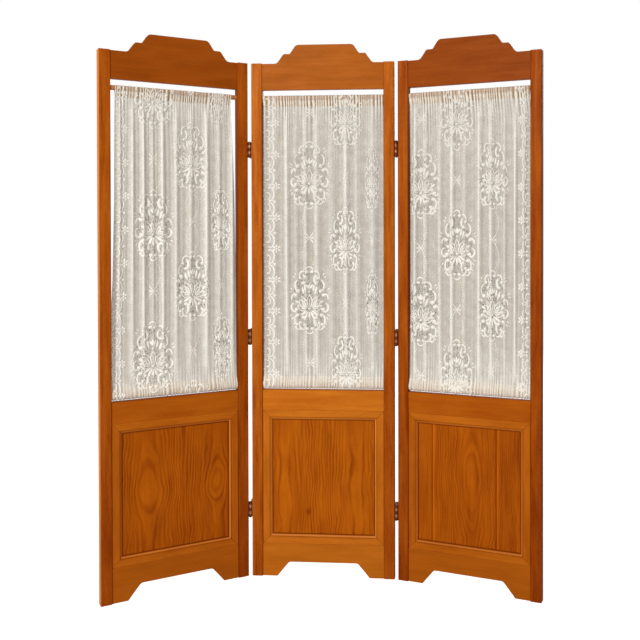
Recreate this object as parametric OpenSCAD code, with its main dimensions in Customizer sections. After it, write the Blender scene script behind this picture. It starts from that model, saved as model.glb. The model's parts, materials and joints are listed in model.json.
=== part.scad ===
// Folding screen of three frame-and-panel leaves hung edge to edge on two-way hinges.
// Each leaf has a gathered curtain on two dowels above a framed infill board.
// Every leaf is drawn in its own frame: X across the leaf from its middle, Y from front
// to back from its middle, Z up from the floor.

/* [Leaf] */
// Width of one leaf
leaf_w = 470; // [380:1:600]
// Height of the stiles
stile_h = 1680; // [1400:1:1900]
// Width of a stile
stile_w = 36; // [32:0.5:60]
// Thickness of a stile
stile_t = 25; // [22:0.5:32]
// Radius along a stile's edges and round its ends
stile_round = 3; // [1:0.5:4]
// Thickness of the rails and the mitred boards
rail_t = 19; // [16:0.5:22]
// Radius along the edges of the rails
rail_round = 1.5; // [0.5:0.1:3]

/* [Crest rail] */
// Height of the crest rail from its lower edge to its shoulders
crest_h = 86; // [70:1:120]
// How far the shoulders lie below the ends of the stiles
shoulder_drop = 1; // [0:0.5:6]
// Straight shoulder between a stile and the lower curve
shoulder_w = 42.5; // [25:0.5:60]
// Run of the lower curve
lower_run = 22; // [18:0.5:28]
// Rise of the lower curve
lower_rise = 31; // [26:0.5:38]
// Step between the two curves
step_w = 21; // [18:0.5:28]
// Run of the upper curve
upper_run = 20; // [17:0.5:26]
// Rise of the upper curve
upper_rise = 29.5; // [26:0.5:38]
// Radius at the foot of the lower curve
lower_hollow_r = 16; // [8:0.5:20]
// Radius at the top of the lower curve
lower_nose_r = 8; // [5:0.5:12]
// Radius at the foot of the upper curve
upper_hollow_r = 5; // [3:0.5:8]
// Radius at the top of the upper curve
upper_nose_r = 16; // [8:0.5:18]
// How far each crest lies right of its leaf's middle: left, middle and right leaf
crest_shift = [10, 6, -3]; // [-12:1:12]

/* [Lower frame] */
// Height of the mid rail's upper edge above the floor
mid_rail_top = 614; // [520:1:720]
// Height of the mid rail
mid_rail_h = 68; // [50:1:90]
// Height of the foot rail above the floor
foot_rail_h = 108; // [90:1:140]
// Width of the mitred boards round the infill
board_w = 31; // [26:0.5:45]
// Bevel on the outer edge of the mitred boards
board_bevel = 1; // [0.4:0.1:2]
// Width of the moulded inner edge of the mitred boards
mould_w = 8; // [7:0.5:10]
// Radius of the moulded inner edge
mould_r = 4.2; // [3:0.1:4.6]
// Step in front of the moulded edge
mould_step = 0.8; // [0.4:0.1:1.2]
// Thickness of the infill board
infill_t = 5; // [4:0.5:6]
// How far the infill board reaches into its grooves
infill_seat = 7; // [4:0.5:10]

/* [Foot] */
// Width of the foot between a stile and the cut-out
foot_w = 47; // [35:1:60]
// Run of the cut-out's sloping end
foot_slope = 39; // [25:1:50]
// Height of the cut-out
cutout_h = 47; // [35:1:60]
// Radius at the top corners of the cut-out
cutout_r = 14; // [6:1:20]
// Radius at the tip of the foot
toe_r = 3; // [2:0.5:6]

/* [Joinery] */
// Length of a tenon
tenon_l = 22; // [15:1:26]
// Thickness of a tenon
tenon_t = 8; // [6:0.5:10]
// How far a tenon is set in from its rail's edges
tenon_inset = 11; // [9:0.5:18]
// Reach of the tongues on the mitred boards
tongue_l = 5; // [3:0.5:8]
// Thickness of the tongues on the mitred boards
tongue_t = 5; // [4:0.5:6]
// Clearance on each side of a tenon, a tongue or the infill
joint_fit = 0.15; // [0.1:0.05:0.3]
// Space left beyond the end of a tenon, a tongue or the infill
joint_end = 0.8; // [0.3:0.1:0.9]

/* [Curtain rods] */
// Diameter of a rod
rod_d = 15; // [12:0.5:17]
// Radial clearance of a rod in its holes
rod_fit = 0.25; // [0.15:0.05:0.4]
// How far each end of a rod sits in its stile
rod_seat = 10; // [7:0.5:12]
// Endwise travel that frees a rod
rod_travel = 12; // [8.5:0.5:14]
// Space between a rod's end and the bottom of its hole
rod_end = 0.8; // [0.3:0.1:0.9]
// Centre of the upper rod below the crest rail
upper_rod_drop = 26; // [18:1:45]
// Centre of the lower rod above the mid rail
lower_rod_lift = 16; // [12:0.5:30]

/* [Curtain] */
// Thickness of the gathered cloth
cloth_t = 1.2; // [0.8:0.1:1.6]
// Radial clearance of a rod in its pocket
pocket_fit = 0.4; // [0.3:0.05:0.8]
// From a rod's centre to the seam of its pocket
pocket_drop = 27; // [20:1:34]
// Number of main folds
fold_count = 9; // [7:1:10]
// Depth of the folds at mid height, either side of the middle
fold_depth = 8; // [5:0.5:9]
// Left curtain's distance from the stiles: top left, top right, bottom left, bottom right
left_curtain_in = [19, 24, 5, 5]; // [2:1:30]
// Middle curtain's distance from the stiles: top left, top right, bottom left, bottom right
middle_curtain_in = [8, 3, 4, 3]; // [2:1:30]
// Right curtain's distance from the stiles: top left, top right, bottom left, bottom right
right_curtain_in = [6, 9, 5, 6]; // [2:1:30]

/* [Hinges] */
// Gap between two leaves laid in line
leaf_gap = 10; // [9:0.5:14]
// Height of a hinge
hinge_h = 50.8; // [40:0.1:80]
// Knuckles in one barrel
knuckle_count = 5; // [3:2:7]
// How far a barrel's axis stands proud of the stile's face
axis_proud = 1; // [0.6:0.1:2]
// Clearance between a barrel and the edges beside it
barrel_fit = 0.2; // [0.1:0.05:0.4]
// Thickness of a hinge leaf
plate_t = 1.6; // [1.2:0.1:2]
// Thickness of the link plate between the two barrels
link_t = 1.8; // [1.4:0.1:2.2]
// Clearance between knuckles, and between a plate and the barrel beside it
knuckle_gap = 0.3; // [0.2:0.05:0.5]
// Diameter of a hinge pin
pin_d = 3.2; // [2.5:0.1:4]
// Radial clearance of a hinge pin
pin_fit = 0.05; // [0.02:0.01:0.09]
// Diameter of a pin's end knob
knob_d = 5.6; // [4.4:0.1:7]
// Centre of the lowest hinge above the floor
low_hinge_up = 219; // [150:1:300]
// Centre of the highest hinge below the ends of the stiles
high_hinge_down = 282; // [200:1:360]
// How far the middle hinge lies below the midpoint of the other two
mid_hinge_drop = 23; // [0:1:60]

/* [Screws] */
// Diameter of a screw's shank
screw_d = 3; // [2.5:0.1:3.5]
// Diameter of a screw's head
screw_head_d = 6.2; // [5:0.1:7]
// Length of a screw
screw_l = 15; // [10:0.5:17]
// Radial clearance of a screw
screw_fit = 0.08; // [0.04:0.01:0.15]
// Width of the slot in a screw's head
slot_w = 0.9; // [0.6:0.1:1.2]
// Screws in one hinge leaf
screw_count = 3; // [2:1:3]

/* [Stance] */
// Forward swing of the left leaf
left_fold = 34; // [0:1:60]
// Forward swing of the right leaf
right_fold = 18; // [0:1:60]

/* [Hidden] */
$fn = 48;
LEAVES = ["left", "middle", "right"];
PIECES = ["left_stile", "right_stile", "crest_rail", "mid_rail", "foot_rail", "top_board",
    "bottom_board", "left_board", "right_board", "infill", "top_rod", "bottom_rod", "curtain"];
GAPS = ["left", "right"];
HARDWARE = ["outer_plates", "link_plates", "inner_plates", "front_pins", "rear_pins",
    "outer_screws", "inner_screws"];

WOOD = [0.72, 0.40, 0.14];
WOOD_DARK = [0.62, 0.31, 0.10];
WOOD_LIGHT = [0.78, 0.46, 0.18];
DOWEL = [0.70, 0.45, 0.24];
LACE = [0.93, 0.91, 0.86];
BRASS = [0.62, 0.50, 0.28];

eps = 0.01;
// How far a cutter runs past what it cuts.
over = 1;

// Outlines of the leaf.
open_w = leaf_w - 2 * stile_w;
open_x = open_w / 2;
shoulder_z = stile_h - shoulder_drop;
crest_z = shoulder_z - crest_h;
mid_rail_z = mid_rail_top - mid_rail_h;
frame_h = mid_rail_z - foot_rail_h;
crest_top = shoulder_z + lower_rise + upper_rise;

// Curtain rods.
rod_r = rod_d / 2;
rod_soft = 1;
upper_rod_z = crest_z - upper_rod_drop;
lower_rod_z = mid_rail_top + lower_rod_lift;
deep_hole = rod_seat + rod_travel + rod_end;
shallow_hole = rod_seat + rod_end;
seam_gap = 0.2;

// Hinges, each drawn round its own middle height in the gap between two leaves.
axis_y = stile_t / 2 + axis_proud;
barrel_r = leaf_gap / 2 - barrel_fit;
knob_h = 1.4;
plate_front = -axis_y + barrel_r + knuckle_gap;
plate_back = axis_y - barrel_r - 4 * knuckle_gap;
link_reach = axis_y - barrel_r - knuckle_gap;
low_hinge_z = low_hinge_up;
high_hinge_z = stile_h - high_hinge_down;
hinge_heights = [low_hinge_z, (low_hinge_z + high_hinge_z) / 2 - mid_hinge_drop, high_hinge_z];
screw_row = (plate_front + plate_back) / 2;
screw_tip = 4;
screw_point_r = 0.3;
screw_slot_depth = 0.7;
screw_pitch = hinge_h / (screw_count + 0.2);
screw_stagger = (plate_back - plate_front) / 6;
screw_spots = [for (i = [0:screw_count - 1])
    [screw_row + (i % 2 == 0 ? -1 : 1) * screw_stagger, (i - (screw_count - 1) / 2) * screw_pitch]];

function turned(v, a) = [v.x * cos(a) - v.y * sin(a), v.x * sin(a) + v.y * cos(a)];
function swing(side) = side < 0 ? left_fold : -right_fold;
function front_axis(side) = [side * (leaf_w + leaf_gap) / 2, -axis_y];

// Extent of the standing screen in plan, which sets its origin under the middle of its box.
corner_r = stile_round;
outer_corners = [for (side = [-1, 1]) for (face = [-1, 1])
    let (axis = front_axis(side),
         corner = [side * (1.5 * leaf_w + leaf_gap - corner_r), face * (stile_t / 2 - corner_r)])
    axis + turned(corner - axis, swing(side))];
min_x = min([for (p = outer_corners) p.x]) - corner_r;
max_x = max([for (p = outer_corners) p.x]) + corner_r;
min_y = min(min([for (p = outer_corners) p.y]) - corner_r, -axis_y - barrel_r);
max_y = axis_y + barrel_r;

// ---- shapes ----

module block(x0, x1, y0, y1, z0, z1)
    translate([min(x0, x1), min(y0, y1), min(z0, z1)])
        cube([abs(x1 - x0), abs(y1 - y0), abs(z1 - z0)]);

// A round bar from x0 to x1.
module bar(x0, x1, y, z, r)
    translate([min(x0, x1), y, z]) rotate([0, 90, 0]) cylinder(r = r, h = abs(x1 - x0));

module round_rect(w, h, r) {
    square([w - 2 * r, h], center = true);
    square([w, h - 2 * r], center = true);
    for (x = [-1, 1]) for (y = [-1, 1])
        translate([x * (w / 2 - r), y * (h / 2 - r)]) circle(r = r);
}

// Outline of a rail from corners [x, z, radius, eased], counter-clockwise. Each edge that
// leaves an eased corner moves in by inset, and the radii follow it.
ARC_STEPS = 4;
least_bend_r = 0.2;
function unit(v) = v / norm(v);
function left_of(v) = [-v.y, v.x];
function cross2(a, b) = a.x * b.y - a.y * b.x;
function outline(corners, inset) =
    let (n = len(corners))
    [for (i = [0:n - 1])
        let (c = corners[i], last = corners[(i + n - 1) % n], next = corners[(i + 1) % n],
             e0 = unit([c.x - last.x, c.y - last.y]), e1 = unit([next.x - c.x, next.y - c.y]),
             d0 = inset * last[3], d1 = inset * c[3],
             turn = cross2(e0, e1),
             spot = [c.x, c.y] + (e1 * d0 - e0 * d1) / turn,
             angle = atan2(turn, e0 * e1),
             r = c[2] == 0 ? 0 : max(c[2] - sign(turn) * inset, least_bend_r),
             centre = spot - e0 * r * tan(abs(angle) / 2) + left_of(e0) * r * sign(turn),
             from = -left_of(e0) * r * sign(turn))
        each r == 0 ? [spot]
            : [for (k = [0:ARC_STEPS]) centre + turned(from, angle * k / ARC_STEPS)]];

// Splits a flat outline into triangles by clipping one corner after another.
function doubled_area(a, b, c) = cross2(b - a, c - a);
function inside(p, a, b, c) = doubled_area(a, b, p) > -1e-6 && doubled_area(b, c, p) > -1e-6
    && doubled_area(c, a, p) > -1e-6;
function corner(ids, k) =
    let (n = len(ids)) [ids[(k + n - 1) % n], ids[k], ids[(k + 1) % n]];
function clips(pts, ids, c) = doubled_area(pts[c[0]], pts[c[1]], pts[c[2]]) > 1e-6
    && len([for (i = ids) if (i != c[0] && i != c[1] && i != c[2]
        && inside(pts[i], pts[c[0]], pts[c[1]], pts[c[2]])) i]) == 0;
function first_clip(pts, ids, k) =
    k >= len(ids) - 1 || clips(pts, ids, corner(ids, k)) ? k : first_clip(pts, ids, k + 1);
function triangles(pts, ids) = len(ids) == 3 ? [ids]
    : let (k = first_clip(pts, ids, 0))
        concat([corner(ids, k)], triangles(pts, [for (i = [0:len(ids) - 1]) if (i != k) ids[i]]));

// A closed solid through rings of points [x, y, z] that run from front to back.
module loft(rings) {
    n = len(rings[0]);
    last = len(rings) - 1;
    cap = triangles([for (p = rings[0]) [p.x, p.z]], [for (i = [0:n - 1]) i]);
    polyhedron(points = [for (ring = rings) each ring],
        faces = concat([for (t = cap) [t[2], t[1], t[0]]],
            [for (r = [0:last - 1]) for (i = [0:n - 1]) let (j = (i + 1) % n) for (half = [0, 1])
                half == 0 ? [r * n + i, r * n + j, (r + 1) * n + j]
                    : [r * n + i, (r + 1) * n + j, (r + 1) * n + i]],
            [for (t = cap) [last * n + t[0], last * n + t[1], last * n + t[2]]]));
}

// A rail of an outline in X and Z with eased front and back edges.
module rail(corners)
    loft([for (face = [-1, 1]) for (a = face < 0 ? [0, 45, 90] : [90, 45, 0])
        [for (p = outline(corners, rail_round * (1 - sin(a))))
            [p.x, face * (rail_t / 2 - rail_round * (1 - cos(a))), p.y]]]);

module tenons(z0, z1)
    for (side = [-1, 1])
        block(side * (open_x - eps), side * (open_x + tenon_l), -tenon_t / 2, tenon_t / 2,
            z0 + tenon_inset, z1 - tenon_inset);

module mortise(side, z0, z1)
    block(side * (open_x - eps), side * (open_x + tenon_l + joint_end),
        -tenon_t / 2 - joint_fit, tenon_t / 2 + joint_fit,
        z0 + tenon_inset - joint_fit, z1 - tenon_inset + joint_fit);

// ---- wooden pieces of one leaf ----

module stile(leaf, side) {
    hinged = leaf == 1 || side == (leaf == 0 ? 1 : -1);
    outer_x = side * leaf_w / 2;
    color(WOOD_DARK) difference() {
        translate([side * (leaf_w - stile_w) / 2, 0, 0]) intersection() {
            linear_extrude(stile_h) round_rect(stile_w, stile_t, stile_round);
            translate([0, stile_t / 2, stile_h / 2]) rotate([90, 0, 0])
                linear_extrude(stile_t) round_rect(stile_w, stile_h, stile_round);
        }
        mortise(side, crest_z, shoulder_z);
        mortise(side, mid_rail_z, mid_rail_top);
        mortise(side, 0, foot_rail_h);
        block(side * (open_x - eps), side * (open_x + tongue_l + joint_end),
            -tongue_t / 2 - joint_fit, tongue_t / 2 + joint_fit, foot_rail_h, mid_rail_z);
        for (z = [upper_rod_z, lower_rod_z])
            bar(side * (open_x - eps), side * (open_x + (side < 0 ? deep_hole : shallow_hole)),
                0, z, rod_r + rod_fit);
        if (hinged) for (z = hinge_heights) for (spot = screw_spots)
            bar(outer_x + side * eps, outer_x - side * (screw_l - plate_t + joint_end),
                (leaf == 1 ? -1 : 1) * spot.x, z + spot.y, screw_d / 2 + screw_fit);
    }
}

crest_half = [[open_x - shoulder_w, shoulder_z, lower_hollow_r],
    [open_x - shoulder_w - lower_run, shoulder_z + lower_rise, lower_nose_r],
    [open_x - shoulder_w - lower_run - step_w, shoulder_z + lower_rise, upper_hollow_r],
    [open_x - shoulder_w - lower_run - step_w - upper_run, crest_top, upper_nose_r]];

module crest_rail(leaf) {
    shift = crest_shift[leaf];
    color(WOOD) {
        rail(concat([[-open_x, crest_z, 0, 1], [open_x, crest_z, 0, 0], [open_x, shoulder_z, 0, 1]],
            [for (p = crest_half) [shift + p.x, p.y, p[2], 1]],
            [for (i = [len(crest_half) - 1:-1:0])
                let (p = crest_half[i]) [shift - p.x, p.y, p[2], 1]],
            [[-open_x, shoulder_z, 0, 0]]));
        tenons(crest_z, shoulder_z);
    }
}

// A groove that takes a board's tongue, cut into a rail from its edge at z towards z + way.
module tongue_groove(z, way)
    block(-open_x, open_x, -tongue_t / 2 - joint_fit, tongue_t / 2 + joint_fit,
        z - way * eps, z + way * (tongue_l + joint_end));

module mid_rail()
    color(WOOD) {
        difference() {
            rail([[-open_x, mid_rail_z, 0, 1], [open_x, mid_rail_z, 0, 0],
                [open_x, mid_rail_top, 0, 1], [-open_x, mid_rail_top, 0, 0]]);
            tongue_groove(mid_rail_z, 1);
        }
        tenons(mid_rail_z, mid_rail_top);
    }

module foot_rail() {
    toe_x = open_x - foot_w;
    cut_x = toe_x - foot_slope;
    color(WOOD) {
        difference() {
            rail([[-open_x, 0, 0, 1], [-toe_x, 0, toe_r, 1], [-cut_x, cutout_h, cutout_r, 1],
                [cut_x, cutout_h, cutout_r, 1], [toe_x, 0, toe_r, 1], [open_x, 0, 0, 0],
                [open_x, foot_rail_h, 0, 1], [-open_x, foot_rail_h, 0, 0]]);
            tongue_groove(foot_rail_h, -1);
        }
        tenons(0, foot_rail_h);
    }
}

// Half of a board's section, from its outer edge at 0 to its moulded inner edge.
MOULD_STEPS = 6;
half_section = concat(
    [[-tongue_l, 0], [-tongue_l, tongue_t / 2], [0, tongue_t / 2], [0, rail_t / 2 - board_bevel],
     [board_bevel, rail_t / 2], [board_w - mould_w, rail_t / 2]],
    [for (k = [0:MOULD_STEPS]) let (a = 90 - 90 * k / MOULD_STEPS)
        [board_w - mould_w + mould_r * cos(a), rail_t / 2 - mould_step - mould_r * (1 - sin(a))]],
    [[board_w, rail_t / 2 - mould_step - mould_r], [board_w, infill_t / 2 + joint_fit],
     [board_w - infill_seat - joint_end, infill_t / 2 + joint_fit],
     [board_w - infill_seat - joint_end, 0]]);

// A mitred board along X, its outer edge on the X axis and its inner edge above it in Z.
module board(length)
    intersection() {
        translate([-length / 2, 0, 0]) rotate([90, 0, 90]) linear_extrude(length)
            polygon(concat([for (p = half_section) [-p.y, p.x]],
                [for (i = [len(half_section) - 2:-1:1]) [half_section[i].y, half_section[i].x]]));
        translate([0, rail_t, 0]) rotate([90, 0, 0]) linear_extrude(2 * rail_t)
            polygon([[-length / 2, -tongue_l], [length / 2, -tongue_l], [length / 2, 0],
                [length / 2 - board_w, board_w], [-length / 2 + board_w, board_w],
                [-length / 2, 0]]);
    }

module bottom_board() color(WOOD_LIGHT) translate([0, 0, foot_rail_h]) board(open_w);

module top_board() color(WOOD_LIGHT) translate([0, 0, mid_rail_z]) rotate([0, 180, 0]) board(open_w);

module side_board(side)
    color(WOOD_LIGHT) translate([side * open_x, 0, foot_rail_h + frame_h / 2])
        rotate([0, -side * 90, 0]) board(frame_h);

module infill() {
    half_w = open_x - board_w + infill_seat;
    seat_z = board_w - infill_seat;
    color(WOOD_LIGHT) block(-half_w, half_w, -infill_t / 2, infill_t / 2,
        foot_rail_h + seat_z, mid_rail_z - seat_z);
}

// ---- rods and curtain ----

// A turned dowel with softened ends.
module rod(z) {
    half = open_x + rod_seat;
    color(DOWEL) translate([-half, 0, z]) rotate([0, 90, 0]) rotate_extrude()
        polygon([[0, 0], [rod_r - rod_soft, 0], [rod_r, rod_soft], [rod_r, 2 * half - rod_soft],
            [rod_r - rod_soft, 2 * half], [0, 2 * half]]);
}

// A pocket sewn round a rod: a tube with a tail that narrows to the seam, below it or above it.
POCKET_STEPS = 20;
module pocket(x0, x1, z, way) {
    r = rod_r + pocket_fit + cloth_t;
    lean = asin((r - cloth_t) / pocket_drop);
    color(LACE) difference() {
        translate([x0, 0, z]) rotate([90, 0, 90]) linear_extrude(x1 - x0)
            polygon(concat(
                [for (k = [0:POCKET_STEPS])
                    let (a = -lean + (180 + 2 * lean) * k / POCKET_STEPS) [r * cos(a), way * r * sin(a)]],
                [[-cloth_t, -way * pocket_drop], [cloth_t, -way * pocket_drop]]));
        bar(x0 - over, x1 + over, 0, z, rod_r + pocket_fit);
    }
}

// The cloth between the two seams. Its folds are shallow at the seams and full between them.
SHEET_COLUMNS = 60;
SHEET_ROWS = 8;
function sheet_depth(h) = cloth_t + (fold_depth - cloth_t) * pow(sin(180 * h), 0.7);
function fold_wave(s, h, leaf) =
    0.72 * sin(360 * (fold_count * s + 0.15 * sin(180 * h)) + 70 * leaf)
    + 0.28 * sin(360 * (1.6 * fold_count * s) + 120 * leaf);

module sheet(leaf, edge, seam_top, seam_low) {
    columns = SHEET_COLUMNS;
    rows = SHEET_ROWS;
    size = (columns + 1) * (rows + 1);
    function at(i, j, face) =
        let (s = i / columns, h = j / rows, drop = (seam_top - seam_low) * h,
             left = -open_x + edge[0] + (edge[2] - edge[0]) * h,
             right = open_x - edge[1] - (edge[3] - edge[1]) * h)
        [left + (right - left) * s,
         sheet_depth(h) * fold_wave(s, h, leaf) + face * cloth_t / 2, seam_top - drop];
    function id(i, j, face) = (face > 0 ? size : 0) + j * (columns + 1) + i;
    rim = concat([for (i = [0:columns - 1]) [i, 0]], [for (j = [0:rows - 1]) [columns, j]],
        [for (i = [columns:-1:1]) [i, rows]], [for (j = [rows:-1:1]) [0, j]]);
    color(LACE) polyhedron(
        points = [for (face = [-1, 1]) for (j = [0:rows]) for (i = [0:columns]) at(i, j, face)],
        faces = concat(
            [for (j = [0:rows - 1]) for (i = [0:columns - 1]) for (half = [0, 1])
                half == 0 ? [id(i, j, -1), id(i + 1, j, -1), id(i + 1, j + 1, -1)]
                    : [id(i, j, -1), id(i + 1, j + 1, -1), id(i, j + 1, -1)]],
            [for (j = [0:rows - 1]) for (i = [0:columns - 1]) for (half = [0, 1])
                half == 0 ? [id(i, j, 1), id(i + 1, j + 1, 1), id(i + 1, j, 1)]
                    : [id(i, j, 1), id(i, j + 1, 1), id(i + 1, j + 1, 1)]],
            [for (k = [0:len(rim) - 1]) for (half = [0, 1])
                let (a = rim[k], b = rim[(k + 1) % len(rim)])
                half == 0 ? [id(a[0], a[1], -1), id(b[0], b[1], 1), id(b[0], b[1], -1)]
                    : [id(a[0], a[1], -1), id(a[0], a[1], 1), id(b[0], b[1], 1)]]));
}

module curtain(leaf) {
    edge = [left_curtain_in, middle_curtain_in, right_curtain_in][leaf];
    pocket(-open_x + edge[0], open_x - edge[1], upper_rod_z, 1);
    pocket(-open_x + edge[2], open_x - edge[3], lower_rod_z, -1);
    sheet(leaf, edge, upper_rod_z - pocket_drop - seam_gap, lower_rod_z + pocket_drop + seam_gap);
}

// ---- hinges ----

// Heights of one knuckle of a barrel, counted from below and shortened by its clearance.
knuckle_h = hinge_h / knuckle_count;
function knuckle_low(k) = -hinge_h / 2 + k * knuckle_h + knuckle_gap / 2;
function knuckle_high(k) = knuckle_low(k) + knuckle_h - knuckle_gap;

module knuckle(k, y)
    translate([0, y, knuckle_low(k)]) cylinder(r = barrel_r, h = knuckle_h - knuckle_gap);

module pin_bore(y)
    translate([0, y, -hinge_h / 2 - over])
        cylinder(r = pin_d / 2 + pin_fit, h = hinge_h + 2 * over);

// A plate on the edge of the stile to the left of the gap, with knuckles on the front axis.
module plate() {
    back_x = -leaf_gap / 2;
    difference() {
        union() {
            block(back_x, back_x + plate_t, plate_front, plate_back, -hinge_h / 2, hinge_h / 2);
            for (k = [0:2:knuckle_count - 1]) {
                knuckle(k, -axis_y);
                block(back_x, back_x + plate_t, -axis_y, plate_front + eps,
                    knuckle_low(k), knuckle_high(k));
            }
        }
        pin_bore(-axis_y);
        for (spot = screw_spots) translate([back_x + plate_t, spot.x, spot.y])
            rotate([0, -90, 0]) {
                translate([0, 0, -eps]) cylinder(r1 = screw_head_d / 2 + screw_fit,
                    r2 = screw_d / 2 + screw_fit, h = plate_t + 2 * eps);
            }
    }
}

// The plate that joins the front barrel to the rear one.
module link_plate()
    difference() {
        union() {
            block(-link_t / 2, link_t / 2, -link_reach, link_reach, -hinge_h / 2, hinge_h / 2);
            for (k = [1:2:knuckle_count - 2]) for (y = [-axis_y, axis_y]) {
                knuckle(k, y);
                block(-link_t / 2, link_t / 2, y, sign(y) * (link_reach - eps),
                    knuckle_low(k), knuckle_high(k));
            }
        }
        pin_bore(-axis_y);
        pin_bore(axis_y);
    }

module pin(y) {
    end_z = hinge_h / 2 + knuckle_gap / 2;
    translate([0, y, 0]) {
        translate([0, 0, -end_z]) cylinder(r = pin_d / 2, h = 2 * end_z);
        for (way = [0, 180]) rotate([way, 0, 0]) translate([0, 0, end_z - eps])
            rotate_extrude() polygon([[0, 0], [knob_d / 2, 0], [knob_d / 2, knob_h / 2],
                [knob_d / 2 - knob_h / 2, knob_h], [0, knob_h]]);
    }
}

// A countersunk wood screw in a plate on the left of the gap, pointing left.
module screw(spot) {
    shank_r = screw_d / 2;
    translate([-leaf_gap / 2 + plate_t, spot.x, spot.y]) rotate([0, -90, 0]) difference() {
        rotate_extrude() polygon([[0, 0], [screw_head_d / 2, 0], [shank_r, plate_t],
            [shank_r, screw_l - screw_tip], [screw_point_r, screw_l], [0, screw_l]]);
        translate([-slot_w / 2, -screw_head_d, -eps]) cube([slot_w, 2 * screw_head_d, screw_slot_depth]);
    }
}

// One kind of hinge piece at all three hinges of a gap. The inner plate is the outer one
// turned half round, and the right gap mirrors the left one.
module hinge_pieces(side, piece)
    translate([side * (leaf_w + leaf_gap) / 2, 0, 0]) mirror([side < 0 ? 0 : 1, 0, 0])
        for (z = hinge_heights) translate([0, 0, z]) color(BRASS) {
            if (piece == "outer_plates") plate();
            if (piece == "inner_plates") rotate(180) plate();
            if (piece == "link_plates") link_plate();
            if (piece == "front_pins") pin(-axis_y);
            if (piece == "rear_pins") pin(axis_y);
            if (piece == "outer_screws") for (spot = screw_spots) screw(spot);
            if (piece == "inner_screws") rotate(180) for (spot = screw_spots) screw(spot);
        }

// ---- assembly ----

module leaf_piece(leaf, piece) {
    if (piece == "left_stile") stile(leaf, -1);
    if (piece == "right_stile") stile(leaf, 1);
    if (piece == "crest_rail") crest_rail(leaf);
    if (piece == "mid_rail") mid_rail();
    if (piece == "foot_rail") foot_rail();
    if (piece == "top_board") top_board();
    if (piece == "bottom_board") bottom_board();
    if (piece == "left_board") side_board(-1);
    if (piece == "right_board") side_board(1);
    if (piece == "infill") infill();
    if (piece == "top_rod") rod(upper_rod_z);
    if (piece == "bottom_rod") rod(lower_rod_z);
    if (piece == "curtain") curtain(leaf);
}

// Swings what is drawn in line with the middle leaf to an outer leaf's stance.
module swung(side)
    translate(front_axis(side)) rotate(swing(side)) translate(-front_axis(side)) children();

module standing() translate([-(min_x + max_x) / 2, -(min_y + max_y) / 2, 0]) children();

for (leaf = [0:2]) for (piece = PIECES)
    standing() {
            if (leaf == 1) leaf_piece(leaf, piece);
            else swung(leaf - 1) translate([(leaf - 1) * (leaf_w + leaf_gap), 0, 0])
                leaf_piece(leaf, piece);
        }

for (side = [-1, 1]) for (piece = HARDWARE)
    standing() {
            if (piece == "outer_plates" || piece == "outer_screws" || piece == "front_pins")
                swung(side) hinge_pieces(side, piece);
            else hinge_pieces(side, piece);
        }
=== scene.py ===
"""The looks of a three-leaf folding screen: stained wood, brass hinges and lace curtains."""

import json
import math

import bpy
import numpy as np
from mathutils import Matrix, Vector


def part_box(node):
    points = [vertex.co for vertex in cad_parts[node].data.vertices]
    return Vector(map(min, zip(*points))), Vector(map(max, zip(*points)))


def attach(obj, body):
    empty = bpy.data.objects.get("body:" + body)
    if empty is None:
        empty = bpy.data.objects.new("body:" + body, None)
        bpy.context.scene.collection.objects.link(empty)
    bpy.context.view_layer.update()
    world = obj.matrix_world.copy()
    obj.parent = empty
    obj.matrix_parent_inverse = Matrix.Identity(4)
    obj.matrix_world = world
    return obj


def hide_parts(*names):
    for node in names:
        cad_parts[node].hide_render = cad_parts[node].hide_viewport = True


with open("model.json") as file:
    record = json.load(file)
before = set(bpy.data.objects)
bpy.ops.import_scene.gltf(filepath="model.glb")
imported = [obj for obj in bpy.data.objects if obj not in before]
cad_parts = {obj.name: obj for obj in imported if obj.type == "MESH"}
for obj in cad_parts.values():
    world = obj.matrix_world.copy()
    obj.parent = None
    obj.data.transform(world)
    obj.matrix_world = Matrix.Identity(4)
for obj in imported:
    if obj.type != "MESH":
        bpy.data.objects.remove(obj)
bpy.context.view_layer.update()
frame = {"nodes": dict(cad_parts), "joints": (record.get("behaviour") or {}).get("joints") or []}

MM = 0.001
LEAVES = ("left", "middle", "right")
SCENE = bpy.context.scene


# ---- materials as graphs ----

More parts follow.
